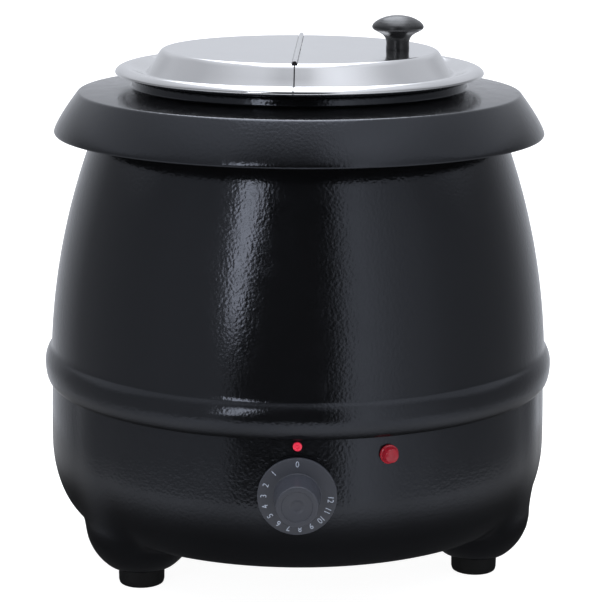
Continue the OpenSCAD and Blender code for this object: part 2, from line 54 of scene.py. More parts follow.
class Mat:
    """A node material with its Principled shader at hand."""

    def __init__(self, name, color, rough, metal=0.0, **sockets):
        self.m = bpy.data.materials.new(name)
        self.m.use_nodes = True
        self.nt = self.m.node_tree
        self.nt.nodes.clear()
        self.out = self.nt.nodes.new("ShaderNodeOutputMaterial")
        self.p = self.nt.nodes.new("ShaderNodeBsdfPrincipled")
        self.nt.links.new(self.p.outputs["BSDF"], self.out.inputs["Surface"])
        self.p.inputs["Base Color"].default_value = rgba(color)
        self.p.inputs["Roughness"].default_value = rough
        self.p.inputs["Metallic"].default_value = metal
        for k, v in sockets.items():
            self.p.inputs[k.replace("_", " ")].default_value = v
        self.tc = self.nt.nodes.new("ShaderNodeTexCoord")

    def new(self, kind, **props):
        n = self.nt.nodes.new(kind)
        for k, v in props.items():
            setattr(n, k, v)
        return n

    def link(self, a, b):
        self.nt.links.new(a, b)

    def coords(self, scale=(1, 1, 1)):
        mp = self.new("ShaderNodeMapping")
        mp.inputs["Scale"].default_value = scale
        self.link(self.tc.outputs["Object"], mp.inputs["Vector"])
        return mp.outputs["Vector"]

    def noise(self, scale, detail=2.0, rough=0.5, stretch=(1, 1, 1), distortion=0.0):
        n = self.new("ShaderNodeTexNoise")
        n.inputs["Scale"].default_value = scale
        n.inputs["Detail"].default_value = detail
        n.inputs["Roughness"].default_value = rough
        n.inputs["Distortion"].default_value = distortion
        self.link(self.coords(stretch), n.inputs["Vector"])
        return n.outputs["Fac"]

    def voronoi(self, scale, feature="F1"):
        n = self.new("ShaderNodeTexVoronoi", feature=feature)
        n.inputs["Scale"].default_value = scale
        self.link(self.coords(), n.inputs["Vector"])
        return n.outputs["Distance"]

    def span(self, value, lo, hi, a, b):
        n = self.new("ShaderNodeMapRange")
        n.inputs["From Min"].default_value = lo
        n.inputs["From Max"].default_value = hi
        n.inputs["To Min"].default_value = a
        n.inputs["To Max"].default_value = b
        self.link(value, n.inputs["Value"])
        return n.outputs["Result"]

    def mix(self, fac, a, b):
        n = self.new("ShaderNodeMix", data_type="RGBA")
        self.link(fac, n.inputs["Factor"])
        n.inputs["A"].default_value = rgba(a)
        n.inputs["B"].default_value = rgba(b)
        return n.outputs["Result"]

    def color(self, out):
        self.link(out, self.p.inputs["Base Color"])

    def rough(self, out):
        self.link(out, self.p.inputs["Roughness"])

    def bump(self, *layers):
        """layers are (height output, distance in metres); each sits on the one before it."""
        last = None
        for height, dist in layers:
            b = self.new("ShaderNodeBump")
            b.inputs["Strength"].default_value = 1.0
            b.inputs["Distance"].default_value = dist
            self.link(height, b.inputs["Height"])
            if last is not None:
                self.link(last, b.inputs["Normal"])
            last = b.outputs["Normal"]
        self.link(last, self.p.inputs["Normal"])


def make_powder(name, color, rough, peel, grain):
    k = Mat(name, color, rough)
    k.p.inputs["IOR"].default_value = 1.5
    k.p.inputs["Specular Tint"].default_value = (0.95, 1.0, 1.12, 1)
    k.rough(k.span(k.noise(90, 3), 0.3, 0.7, rough - 0.03, rough + 0.04))
    k.color(k.mix(k.noise(260, 4, 0.6), [c * 0.85 for c in color], [c * 1.18 for c in color]))
    k.bump((k.noise(520, 1.2, 0.4), peel), (k.noise(1700, 1.5, 0.5), grain))
    return k.m


M = {}
M["black_coat"] = make_powder("black_powder_coat", (0.0034, 0.0035, 0.0039), 0.14, 0.00011, 0.000008)
M["base_coat"] = make_powder("base_plate_coat", (0.013, 0.013, 0.014), 0.46, 0.00006, 0.00001)

k = Mat("polished_stainless_lid", (0.70, 0.70, 0.70), 0.11, 1.0)
k.rough(k.span(k.noise(60, 4, 0.6), 0.3, 0.7, 0.085, 0.15))
k.color(k.mix(k.noise(35, 3), (0.675, 0.675, 0.68), (0.73, 0.725, 0.72)))
k.bump((k.noise(9, 1.0), 0.0007), (k.noise(900, 2, 0.6, (1, 0.12, 1)), 0.0000035))
M["polished_steel"] = k.m

k = Mat("drawn_stainless", (0.60, 0.60, 0.61), 0.24, 1.0)
k.rough(k.span(k.noise(40, 5, 0.6, (1, 1, 0.15)), 0.3, 0.7, 0.19, 0.31))
k.color(k.mix(k.noise(30, 3, 0.5, (1, 1, 0.2)), (0.56, 0.56, 0.57), (0.65, 0.65, 0.655)))
k.bump((k.noise(700, 3, 0.6, (1, 1, 0.06)), 0.00001), (k.noise(12, 1), 0.0003))
M["drawn_steel"] = k.m

k = Mat("zinc_plated_steel", (0.55, 0.56, 0.575), 0.3, 1.0)
k.color(k.mix(k.noise(300, 3), (0.48, 0.5, 0.53), (0.62, 0.61, 0.58)))
k.rough(k.span(k.noise(500, 2), 0.3, 0.7, 0.24, 0.38))
k.bump((k.noise(1500, 2), 0.000006),)
M["zinc_steel"] = k.m

k = Mat("galvanised_sheet", (0.45, 0.46, 0.47), 0.42, 1.0)
k.color(k.mix(k.voronoi(120), (0.38, 0.39, 0.41), (0.55, 0.56, 0.57)))
k.rough(k.span(k.voronoi(90), 0.0, 0.8, 0.34, 0.52))
k.bump((k.noise(400, 3), 0.00001),)
M["galvanised_sheet"] = k.m

k = Mat("heated_sheath", (0.12, 0.105, 0.095), 0.5, 0.9)
k.color(k.mix(k.noise(160, 4), (0.07, 0.06, 0.055), (0.2, 0.165, 0.14)))
k.rough(k.span(k.noise(300, 3), 0.3, 0.7, 0.4, 0.62))
k.bump((k.noise(900, 3), 0.00001),)
M["element_sheath"] = k.m

k = Mat("drawn_copper", (0.60, 0.27, 0.15), 0.33, 1.0)
k.color(k.mix(k.noise(200, 4), (0.48, 0.2, 0.11), (0.68, 0.34, 0.2)))
k.rough(k.span(k.noise(400, 3), 0.3, 0.7, 0.26, 0.44))
k.bump((k.noise(1200, 2), 0.000006),)
M["copper"] = k.m

k = Mat("turned_brass", (0.6, 0.44, 0.18), 0.28, 1.0)
k.color(k.mix(k.noise(250, 3), (0.5, 0.36, 0.14), (0.68, 0.52, 0.25)))
k.rough(k.span(k.noise(500, 3), 0.3, 0.7, 0.22, 0.36))
k.bump((k.noise(1500, 2, 0.5, (1, 1, 6)), 0.000006),)
M["brass"] = k.m

k = Mat("insulating_moulding", (0.62, 0.59, 0.52), 0.5)
k.color(k.mix(k.noise(180, 4), (0.56, 0.53, 0.46), (0.68, 0.65, 0.58)))
k.rough(k.span(k.noise(400, 3), 0.3, 0.7, 0.42, 0.6))
k.bump((k.noise(1300, 3), 0.00002),)
M["ceramic"] = k.m

k = Mat("lead_insulation", (0.34, 0.07, 0.03), 0.45)
k.color(k.mix(k.noise(150, 3), (0.27, 0.05, 0.02), (0.42, 0.1, 0.05)))
k.rough(k.span(k.noise(600, 2), 0.3, 0.7, 0.38, 0.55))
k.bump((k.noise(1600, 2), 0.00001),)
M["wire_insulation"] = k.m

k = Mat("silicone_sponge", (0.12, 0.12, 0.125), 0.75)
k.color(k.mix(k.voronoi(900), (0.09, 0.09, 0.095), (0.16, 0.16, 0.165)))
k.rough(k.span(k.noise(700, 3), 0.3, 0.7, 0.68, 0.85))
k.bump((k.voronoi(1200), 0.00006),)
M["silicone"] = k.m

k = Mat("foot_rubber", (0.0055, 0.0055, 0.006), 0.52)
k.p.inputs["Specular IOR Level"].default_value = 0.35
k.color(k.mix(k.noise(220, 4), (0.0042, 0.0042, 0.0046), (0.0078, 0.0078, 0.0083)))
k.rough(k.span(k.noise(500, 3), 0.3, 0.7, 0.44, 0.62))
k.bump((k.noise(1400, 3, 0.6), 0.00003), (k.noise(160, 2), 0.00005))
M["foot_rubber"] = k.m

k = Mat("slate_moulded_plastic", (0.037, 0.040, 0.051), 0.42)
k.color(k.mix(k.noise(150, 4), (0.034, 0.037, 0.047), (0.041, 0.044, 0.056)))
k.rough(k.span(k.noise(600, 3), 0.3, 0.7, 0.36, 0.47))
k.bump((k.noise(2200, 2, 0.6), 0.000012), (k.noise(120, 2), 0.00003))
M["grey_plastic"] = k.m

k = Mat("black_nylon", (0.014, 0.014, 0.015), 0.42)
k.color(k.mix(k.noise(200, 4), (0.011, 0.011, 0.012), (0.019, 0.019, 0.02)))
k.rough(k.span(k.noise(600, 3), 0.3, 0.7, 0.36, 0.5))
k.bump((k.noise(1800, 2), 0.000015),)
M["black_plastic"] = k.m

k = Mat("knob_phenolic", (0.0125, 0.0125, 0.0135), 0.3)
k.color(k.mix(k.noise(180, 3), (0.0105, 0.0105, 0.0115), (0.016, 0.016, 0.017)))
k.rough(k.span(k.noise(420, 3), 0.3, 0.7, 0.26, 0.36))
k.bump((k.noise(1500, 2), 0.000009), (k.noise(120, 1), 0.00006))
M["knob_plastic"] = k.m

k = Mat("indicator_lens_red", (0.30, 0.010, 0.02), 0.16)
k.p.inputs["Transmission Weight"].default_value = 0.35
k.p.inputs["Emission Color"].default_value = rgba((0.75, 0.03, 0.06))
k.p.inputs["Emission Strength"].default_value = 0.06
k.color(k.mix(k.noise(420, 2), (0.24, 0.007, 0.015), (0.36, 0.014, 0.028)))
k.bump((k.noise(700, 1), 0.00003),)
M["red_lens"] = k.m

k = Mat("pip_red_plastic_painted_glow", (0.62, 0.015, 0.045), 0.28)
# painted glow: the emission makes the red pip shine, though the pip is no lamp
k.p.inputs["Emission Color"].default_value = rgba((0.8, 0.02, 0.07))
k.p.inputs["Emission Strength"].default_value = 0.22
k.color(k.mix(k.noise(700, 2), (0.52, 0.01, 0.03), (0.75, 0.03, 0.07)))
k.bump((k.noise(1500, 1), 0.00002),)
M["red_plastic"] = k.m

k = Mat("printed_numerals", (0.33, 0.37, 0.45), 0.55)
k.color(k.mix(k.noise(900, 3), (0.28, 0.32, 0.40), (0.38, 0.42, 0.50)))
k.bump((k.noise(2500, 2), 0.00001),)
M["print"] = k.m

SLOT_OF = {s["node"]: s["material_slot"] for s in frame["record"]["subparts"]}
for name, ob in NODES.items():
    mat = M.get(SLOT_OF.get(name), M["zinc_steel"])
    if not ob.material_slots:
        ob.data.materials.append(mat)
    for ms in ob.material_slots:
        ms.material = mat


# ------------------------------------------------------------------ mesh tools
def build(name, verts, faces, mat, body, node=None, sharp=32.0):
    me = bpy.data.meshes.new(name)
    me.from_pydata([tuple(v) for v in verts], [], faces)
    me.validate()
    bm = bmesh.new()
    bm.from_mesh(me)
    bmesh.ops.recalc_face_normals(bm, faces=bm.faces)
    bm.to_mesh(me)
    bm.free()
    me.shade_smooth()
    if sharp:
        me.set_sharp_from_angle(angle=math.radians(sharp))
    me.materials.append(mat)
    ob = bpy.data.objects.new(name, me)
    SCENE.collection.objects.link(ob)
    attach(ob, body)
    if node:
        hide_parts(*([node] if isinstance(node, str) else node))
    return ob


def unit(v):
    return v / max(np.linalg.norm(v), 1e-12)


def rounded(pts, n=6):
    """A line through (r, z, corner radius) points with its corners rounded."""
    p = [np.array(q[:2], float) for q in pts]
    rad = [q[2] if len(q) > 2 else 0.0 for q in pts]
    out = [p[0]]
    for i in range(1, len(p) - 1):
        a, b, c = p[i - 1], p[i], p[i + 1]
        if rad[i] <= 0:
            out.append(b)
            continue
        u, v = unit(a - b), unit(c - b)
        ang = math.acos(max(-1, min(1, float(u @ v))))
        t = min(rad[i] / math.tan(ang / 2), 0.49 * np.linalg.norm(a - b), 0.49 * np.linalg.norm(c - b))
        r = t * math.tan(ang / 2)
        centre = b + unit(u + v) * (r / math.sin(ang / 2))
        a0, a1 = b + u * t - centre, b + v * t - centre
        t0 = math.atan2(a0[1], a0[0])
        d = (math.atan2(a1[1], a1[0]) - t0 + math.pi) % (2 * math.pi) - math.pi
        for j in range(n + 1):
            w = t0 + d * j / n
            out.append(centre + r * np.array([math.cos(w), math.sin(w)]))
    out.append(p[-1])
    return np.array(out)


def moved(p, t):
    """The line moved to its left by t, with mitred corners."""
    d = np.diff(p, axis=0)
    d /= np.linalg.norm(d, axis=1)[:, None]
    a = np.vstack([d[:1], d])
    b = np.vstack([d, d[-1:]])
    na, nb = np.stack([-a[:, 1], a[:, 0]], 1), np.stack([-b[:, 1], b[:, 0]], 1)
    m = na + nb
    m /= np.linalg.norm(m, axis=1)[:, None]
    return p + m * (t / np.sum(m * na, axis=1))[:, None]


def even(p, step):
    """The line resampled at an even step."""
    s = np.concatenate([[0], np.cumsum(np.linalg.norm(np.diff(p, axis=0), axis=1))])
    q = np.linspace(0, s[-1], max(2, int(round(s[-1] / step)) + 1))
    return np.stack([np.interp(q, s, p[:, 0]), np.interp(q, s, p[:, 1])], 1)


def softened(p, step, sigma):
    """The line with its corners softened; its ends stay where they are."""
    q = even(p, step)
    k = int(4 * sigma / step)
    w = np.exp(-0.5 * (np.arange(-k, k + 1) * step / sigma) ** 2)
    w /= w.sum()
    pad = np.vstack([2 * q[0] - q[k:0:-1], q, 2 * q[-1] - q[-2 : -k - 2 : -1]])
    return np.stack([np.convolve(pad[:, i], w, "valid") for i in (0, 1)], 1)


def simplified(p, tol, longest=12.0):
    """Drops points that the line doesn't need."""
    keep = {0, len(p) - 1}
    stack = [(0, len(p) - 1)]
    while stack:
        a, b = stack.pop()
        if b - a < 2:
            continue
        u = p[b] - p[a]
        n = np.linalg.norm(u)
        mid = p[a + 1 : b] - p[a]
        d = np.abs(u[0] * mid[:, 1] - u[1] * mid[:, 0]) / max(n, 1e-9)
        i = int(d.argmax())
        if d[i] > tol or n > longest:
            i = i if d[i] > tol else (b - a) // 2 - 1
            keep.add(a + 1 + i)
            stack += [(a, a + 1 + i), (a + 1 + i, b)]
    return p[sorted(keep)]


def sheet(line, t):
    """Closed outline of a pressed sheet whose outer face is the line."""
    return np.vstack([line, moved(line, t)[::-1]])


def turned(prof, seg):
    """Vertices and faces of a closed outline (r, z) in mm turned about +Z, in metres."""
    verts, rings = [], []
    ang = np.linspace(0, 2 * math.pi, seg, endpoint=False)
    c, s = np.cos(ang), np.sin(ang)
    for r, z in prof:
        if abs(r) < 1e-6:
            rings.append([len(verts)])
            verts.append((0.0, 0.0, z * MM))
        else:
            rings.append(list(range(len(verts), len(verts) + seg)))
            verts += [(r * MM * c[i], r * MM * s[i], z * MM) for i in range(seg)]
    faces = []
    n = len(prof)
    for j in range(n):
        a, b = rings[j], rings[(j + 1) % n]
        if len(a) == 1 and len(b) == 1:
            continue
        for i in range(seg):
            k2 = (i + 1) % seg
            if len(a) == 1:
                faces.append((a[0], b[k2], b[i]))
            elif len(b) == 1:
                faces.append((a[i], a[k2], b[0]))
            else:
                faces.append((a[i], a[k2], b[k2], b[i]))
    return verts, faces


def on_bearing(verts, az, z):
    """Puts local +Z along a bearing from the front, pointing outwards, at height z in mm."""
    m = Matrix.Translation((0, 0, z * MM)) @ Matrix.Rotation(math.radians(az), 4, "Z") @ Matrix.Rotation(math.radians(90), 4, "X")
    return [tuple(m @ Vector(v)) for v in verts]


def shifted(verts, dx, dy, dz):
    return [(x + dx * MM, y + dy * MM, z + dz * MM) for x, y, z in verts]


def curve_between(fn, a, b, n):
    return [fn(a + (b - a) * i / n) for i in range(n + 1)]


# ------------------------------------------------------------------ shapes in mm
BODY_R, SHEET, FLOOR_Z, WAIST_Z, DRAW = 171.4, 1.2, 34.7, 84.0, 27.0
BEAD_Z, BEAD_H, BEAD_OUT = 126.3, 23.6, 3.9
BRIM_R, BRIM_Z, SHOULDER_Z, COLLAR_R, COLLAR_Z = 166.8, 296.5, 324.4, 112.7, 335.0
LEG_AT, LEG_R, LEG_AZ = 132.0, 37.2, (-52.6, 67.4, 187.4)
FOOT_R, FOOT_H = 15.5, 12.0
LID_Z, LID_TOP_R, LID_T = 352.4, 93.7, 0.8
LID_TURN, HINGE_OFF, HINGE_GAP, KNOB_AT = -1.4, -1.0, 1.95, 66.35
DIAL_Z, DIAL_R, GRIP_H = 90.2, 25.1, 21.6
LAMP_AZ, LAMP_Z, PIP_Z = 19.6, 114.7, 121.9


def lower_r(z):
    z = np.minimum(np.asarray(z, float), 131.0)
    t = np.clip((WAIST_Z - z) / 52.0, 0, 0.999)
    return np.where(z < WAIST_Z, BODY_R - DRAW + DRAW * np.sqrt(1 - t * t), BODY_R - 0.9 * ((z - WAIST_Z) / 47.0) ** 2)


def smax(a, b, k):
    h = np.maximum(k - np.abs(a - b), 0) / k
    return np.maximum(a, b) + h * h * k * 0.25


def smin(a, b, k):
    return -smax(-a, -b, k)


def lower_field(x, y, z):
    """Distance-like field of the lower shell's outside: negative inside, legs blended in."""
    r = np.hypot(x, y)
    e = 0.05
    slope = (lower_r(z + e) - lower_r(z - e)) / (2 * e)
    wall = (r - lower_r(z)) / np.sqrt(1 + slope * slope)
    f = smax(wall, FLOOR_Z - z, 4.0)
    for az in LEG_AZ:
        a = math.radians(az)
        q = np.hypot(x - LEG_AT * math.sin(a), y + LEG_AT * math.cos(a))
        zc = FOOT_H + 31.6
        dz = np.minimum(z - zc, 0)
        leg = smax(np.sqrt(q * q + dz * dz) - LEG_R, FOOT_H - z, 2.2)
        f = smin(f, leg, 6.0)
    return f


def surface_on_rays(ox, oz, dx, dz, az, reach):
    """Where the field's zero lies along rays in the plane of each bearing."""
    sa, ca = np.sin(az), -np.cos(az)
    lo = np.zeros_like(az + ox * 0)
    hi = np.full_like(lo, reach)
    for _ in range(26):
        mid = (lo + hi) / 2
        r, z = ox + dx * mid, oz + dz * mid
        inside = lower_field(r * sa, r * ca, z) < 0
        lo, hi = np.where(inside, mid, lo), np.where(inside, hi, mid)
    s = (lo + hi) / 2
    r, z = ox + dx * s, oz + dz * s
    return np.stack([r * sa, r * ca, z], -1)


def lower_shell_mesh():
    # bearings, closer together beside the legs
    az = [-180.0]
    while True:
        a = az[-1]
        near = min(abs(abs((a - q + 180) % 360 - 180) - 15.5) for q in LEG_AZ)
        step = 0.42 if near < 4 else 0.65 if near < 8 else 1.05
        if a + step >= 180.0:
            break
        az.append(a + step)
    az = np.radians(np.array(az))
    rows = []
    for z in np.concatenate([np.linspace(143, 131.2, 4), np.linspace(130, 92, 14), np.linspace(89, 46, 26)]):
        rows.append((LEG_AT, z, 1.0, 0.0, 60.0))
    for a in np.linspace(0, 90, 44):
        rows.append((LEG_AT, 44.0, math.cos(math.radians(a)), -math.sin(math.radians(a)), 60.0))
    for r in np.concatenate([np.linspace(130.5, 101, 22), np.linspace(100.2, 92, 16), np.linspace(91, 84, 6)]):
        rows.append((r, 44.0, 0.0, -1.0, 60.0))
    grid = np.stack([surface_on_rays(np.full_like(az, o), np.full_like(az, z), dx, dz, az, reach) for o, z, dx, dz, reach in rows])
    du = np.gradient(grid, axis=0)
    dv = np.roll(grid, -1, axis=1) - np.roll(grid, 1, axis=1)
    nrm = np.cross(du, dv)
    nrm /= np.linalg.norm(nrm, axis=2)[:, :, None]
    # pointing outwards at the wall's first row
    if np.sum(nrm[2, :, :2] * grid[2, :, :2]) < 0:
        nrm = -nrm
    inner = grid - nrm * SHEET
    m, n = grid.shape[:2]
    verts = np.vstack([grid.reshape(-1, 3), inner.reshape(-1, 3)]) * MM
    faces = []
    off = m * n
    for i in range(m - 1):
        for j in range(n):
            q = (j + 1) % n
            faces.append((i * n + j, i * n + q, (i + 1) * n + q, (i + 1) * n + j))
            faces.append((off + i * n + j, off + (i + 1) * n + j, off + (i + 1) * n + q, off + i * n + q))
    for j in range(n):
        q = (j + 1) % n
        faces.append((j, off + j, off + q, q))
        e = (m - 1) * n
        faces.append((e + j, e + q, off + e + q, off + e + j))
    return verts, faces


def barrel_r(z):
    return BODY_R - 465.0 + math.sqrt(465.0**2 - (z - 128.0) ** 2)


def upper_line():
    wide, top = BEAD_Z + 12.7, BEAD_Z + BEAD_H
    bead = [(BODY_R + 0.3 + (BEAD_OUT - 0.3) * math.cos(math.radians(a)), wide + 12.7 * math.sin(math.radians(a))) for a in range(-72, 1, 4)]
    bead += [(BODY_R - 0.4 + (BEAD_OUT + 0.4) * math.cos(math.radians(min(a, 89.9))) ** 0.7, wide + (top - wide) * a / 90) for a in range(4, 91, 3)]
    barrel = [(barrel_r(z), z) for z in np.arange(152, 314.1, 1.0)]
    body = softened(np.array(bead + barrel), 0.25, 0.7)
    tail = rounded([(barrel_r(314), 314), (barrel_r(315.6), 316.2, 1.4), (121.0, 316.2)], 5)[1:]
    return np.vstack([[(BODY_R + 0.8, BEAD_Z)], simplified(body, 0.012, 9.0), tail])


def brim_line():
    flank = [(BRIM_R - 15.0 * (i / 28) ** 1.25, BRIM_Z + 1 + (SHOULDER_Z - BRIM_Z - 3.4) * i / 28) for i in range(29)]
    inner = COLLAR_R + 2.2
    top = [(BRIM_R - 16.1, SHOULDER_Z - 0.9), (BRIM_R - 16.7, SHOULDER_Z - 0.38), (BRIM_R - 17.45, SHOULDER_Z - 0.12)]
    top += [(r, SHOULDER_Z - 0.12 + 0.08 * (BRIM_R - 17.45 - r)) for r in np.linspace(BRIM_R - 18.7, inner, 12)]
    top += [(COLLAR_R + 1.15, COLLAR_Z - 7.3), (COLLAR_R + 0.75, COLLAR_Z - 6.2), (COLLAR_R + 0.05, COLLAR_Z - 0.4)]
    body = softened(np.array(flank + top), 0.2, 0.45)
    return np.vstack([[(BRIM_R - 0.4, BRIM_Z)], simplified(body, 0.012, 9.0), [(COLLAR_R - 0.35, COLLAR_Z)]])


def lid_line():
    crest = [(118.4 + 7.2 * math.cos(math.radians(a)), 335.9 + 5.1 * math.sin(math.radians(a))) for a in range(28, 128, 4)]
    pts = [(124.9, 336.7), (125.1, 337.6)] + crest + [(108, 337.6), (105.8, 336.6), (104.4, 336.5), (103.4, 337.3),
          (LID_TOP_R + 1.3, LID_Z - 2.2), (LID_TOP_R + 0.3, LID_Z - 1), (LID_TOP_R - 1.2, LID_Z - 0.2), (LID_TOP_R - 2.6, LID_Z), (80, LID_Z), (0, LID_Z)]
    body = softened(np.array(pts), 0.15, 0.45)
    body[-1] = (0, LID_Z)
    body[:, 1] = np.minimum(body[:, 1], LID_Z)
    return simplified(body, 0.008, 10.0)


# ------------------------------------------------------------------ body pieces
v, f = lower_shell_mesh()
build("lower_shell_pressing", v, f, M["black_coat"], "kettle_body", "lower_shell", 40)

v, f = turned(sheet(upper_line(), SHEET), 288)
build("barrel_pressing", v, f, M["black_coat"], "kettle_body", "upper_shell", 40)

v, f = turned(sheet(brim_line(), SHEET), 288)
build("brim_pressing", v, f, M["black_coat"], "kettle_body", "brim", 40)

well = rounded([(0, 59), (120, 59, 9), (120, 316.2, 0.6), (130.5, 316.2)], 10)
v, f = turned(sheet(simplified(even(well, 1.0), 0.01, 14), 1.0), 192)
build("water_well_bowl", v, f, M["drawn_steel"], "kettle_body", "water_well", 40)

# soup pot with a wired rim
pot = rounded([(0, 70), (109, 70, 14), (109, 335.2, 1.2), (114.2, 335.2)], 12)
pot_in = moved(pot, 1.0)[::-1]
bead = [(116.5 + 2.9 * math.cos(math.radians(a)), 336.9 + 2.9 * math.sin(math.radians(a))) for a in np.arange(-142, 194, 12)]
outline = np.vstack([pot[:-1], bead, [(113.0, 336.2)], pot_in[1:]])
v, f = turned(outline, 192)
build("soup_pot_bowl", v, f, M["drawn_steel"], "pot", "soup_pot", 40)


# feet, with a moulded waist line and the screw's recess
def foot_mesh(i):
    out = rounded([(2.25, 5.0), (5.5, 5.0, 0.2), (5.5, 0.0, 0.3), (14.7, 0.0, 1.2), (15.35, 2.6, 1.6), (15.5, 10.9, 0.5), (15.0, 12.0, 0.4), (2.25, 12.0)], 6)
    v, f = turned(out, 72)
    a = math.radians(LEG_AZ[i])
    return shifted(v, LEG_AT * math.sin(a), -LEG_AT * math.cos(a), 0), f


for i, nm in enumerate(("foot_left", "foot_right", "foot_rear")):
    v, f = foot_mesh(i)
    build(nm + "_rubber", v, f, M["foot_rubber"], "kettle_body", nm, 40)

# ------------------------------------------------------------------ controls
Y0 = 172.2
dial = rounded([(3.06, Y0 + 1.4), (21.8, Y0 + 1.4, 0.4), (22.4, Y0, 0.3), (DIAL_R, Y0, 0.4), (DIAL_R, 174.9, 0.55), (14.9, 174.9, 0.8),
                (13.3, 174.9 + GRIP_H, 1.1), (9.9, 174.9 + GRIP_H, 0.15), (9.65, 174.35 + GRIP_H, 0.2), (4.6, 174.15 + GRIP_H, 2.0), (3.0, 173.3 + GRIP_H, 0.8),
                (0, 173.0 + GRIP_H), (0, 190.2), (3.06, 190.2)], 6)
v, f = turned(dial, 160)
build("control_dial_moulding", on_bearing(v, 0, DIAL_Z), f, M["grey_plastic"], "dial", "control_dial", 34)

DIGITS = [(0, 0), (1, 43.9), (2, 69.2), (3, 88.8), (4, 107.9), (5, 126.6), (6, 146.2), (7, 165.1), (8, 184.9), (9, 205.0), (10, 224.5), (11, 244.9), (12, 264.6)]


def numerals():
    bm = bmesh.new()
    for num, ccw in DIGITS:
        cu = bpy.data.curves.new("numeral", "FONT")
        cu.body = str(num)
        cu.size = 5.5 * MM
        cu.align_x, cu.align_y = "CENTER", "CENTER"
        cu.extrude = 0.03 * MM
        cu.resolution_u = 6
        cu.space_character = 0.92
        ob = bpy.data.objects.new("numeral", cu)
        SCENE.collection.objects.link(ob)
        dg = bpy.context.evaluated_depsgraph_get()
        me = bpy.data.meshes.new_from_object(ob.evaluated_get(dg))
        ys = [p.co.y for p in me.vertices]
        xs = [p.co.x for p in me.vertices]
        me.transform(Matrix.Diagonal((0.9, 1, 1, 1)) @ Matrix.Translation((-(max(xs) + min(xs)) / 2, -(max(ys) + min(ys)) / 2, 0)))
        # local x to the right and y up as seen from the front, then round the dial
        t = Matrix.Translation((0, -(174.9 + 0.035) * MM, DIAL_Z * MM)) @ Matrix.Rotation(math.radians(90), 4, "X") @ Matrix.Rotation(math.radians(ccw), 4, "Z") @ Matrix.Translation((0, 21.2 * MM, 0))
        me.transform(t)
        bm.from_mesh(me)
        bpy.data.objects.remove(ob)
        bpy.data.curves.remove(cu)
        bpy.data.meshes.remove(me)
    bmesh.ops.remove_doubles(bm, verts=bm.verts, dist=1e-7)
    me = bpy.data.meshes.new("dial_numerals")
    bm.to_mesh(me)
    bm.free()
    me.materials.append(M["print"])
    ob = bpy.data.objects.new("dial_numerals", me)
    SCENE.collection.objects.link(ob)
    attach(ob, "dial")
    return ob


numerals()

lens = rounded([(0, 170.9), (5.0, 170.9), (5.0, 171.5), (6.1, 171.5, 0.2), (6.15, 172.9, 0.5), (5.3, 173.6, 0.4), (4.45, 177.6, 1.0), (0, 178.5)], 6)
v, f = turned(lens, 72)
build("pilot_lamp_lens", on_bearing(v, LAMP_AZ, LAMP_Z), f, M["red_lens"], "kettle_body", "lamp_lens", 40)

pip = rounded([(0, 167.5), (1.35, 167.5), (1.35, 170.8), (2.9, 170.8, 0.1), (2.9, 172.1, 0.5), (1.5, 172.3, 0.3), (1.1, 171.6, 0.25), (0, 171.5)], 5)
v, f = turned(pip, 48)
build("dial_index_pip", on_bearing(v, 0, PIP_Z), f, M["red_plastic"], "kettle_body", "index_pip", 50)

# ------------------------------------------------------------------ lid
LID_FRAME = Matrix.Rotation(math.radians(LID_TURN), 4, "Z")


def half_lid(name, s, body, node):
    v, f = turned(sheet(lid_line(), LID_T), 288)
    me = bpy.data.meshes.new(name + "_src")
    me.from_pydata(v, [], f)
    bm = bmesh.new()
    bm.from_mesh(me)
    bmesh.ops.recalc_face_normals(bm, faces=bm.faces)
    cut = bmesh.ops.bisect_plane(bm, geom=bm.verts[:] + bm.edges[:] + bm.faces[:], dist=1e-7,
                                 plane_co=((HINGE_OFF + s * 0.4) * MM, 0, 0), plane_no=(s, 0, 0), clear_inner=True)
    edges = [e for e in cut["geom_cut"] if isinstance(e, bmesh.types.BMEdge)]
    bmesh.ops.holes_fill(bm, edges=edges, sides=0)
    bmesh.ops.recalc_face_normals(bm, faces=bm.faces)
    bm.to_mesh(me)
    bm.free()
    ob = bpy.data.objects.new(name, me)
    SCENE.collection.objects.link(ob)
    # slot for the hinge barrel in the flat top
    c = bmesh.new()
    bmesh.ops.create_cube(c, size=1.0)
    bmesh.ops.scale(c, vec=(2 * HINGE_GAP * MM, 2 * (LID_TOP_R + 0.3) * MM, 10 * MM), verts=c.verts)
    bmesh.ops.translate(c, vec=(HINGE_OFF * MM, 0, (LID_Z + 2) * MM), verts=c.verts)
    cme = bpy.data.meshes.new("slot_cutter")
    c.to_mesh(cme)
    c.free()
    cutter = bpy.data.objects.new("slot_cutter", cme)
    SCENE.collection.objects.link(cutter)
    mod = ob.modifiers.new("slot", "BOOLEAN")
    mod.operation, mod.solver, mod.object = "DIFFERENCE", "EXACT", cutter
    dg = bpy.context.evaluated_depsgraph_get()
    done = bpy.data.meshes.new_from_object(ob.evaluated_get(dg))
    ob.modifiers.clear()
    ob.data = done
    bpy.data.objects.remove(cutter)
    done.transform(LID_FRAME)
    done.shade_smooth()
    done.set_sharp_from_angle(angle=math.radians(35))
    done.materials.clear()
    done.materials.append(M["polished_steel"])
    done.name = name
    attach(ob, body)
    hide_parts(node)
    return ob


half_lid("lid_half_fixed", -1, "lid", "lid_fixed_half")
half_lid("lid_half_flap", 1, "flap", "lid_flap")

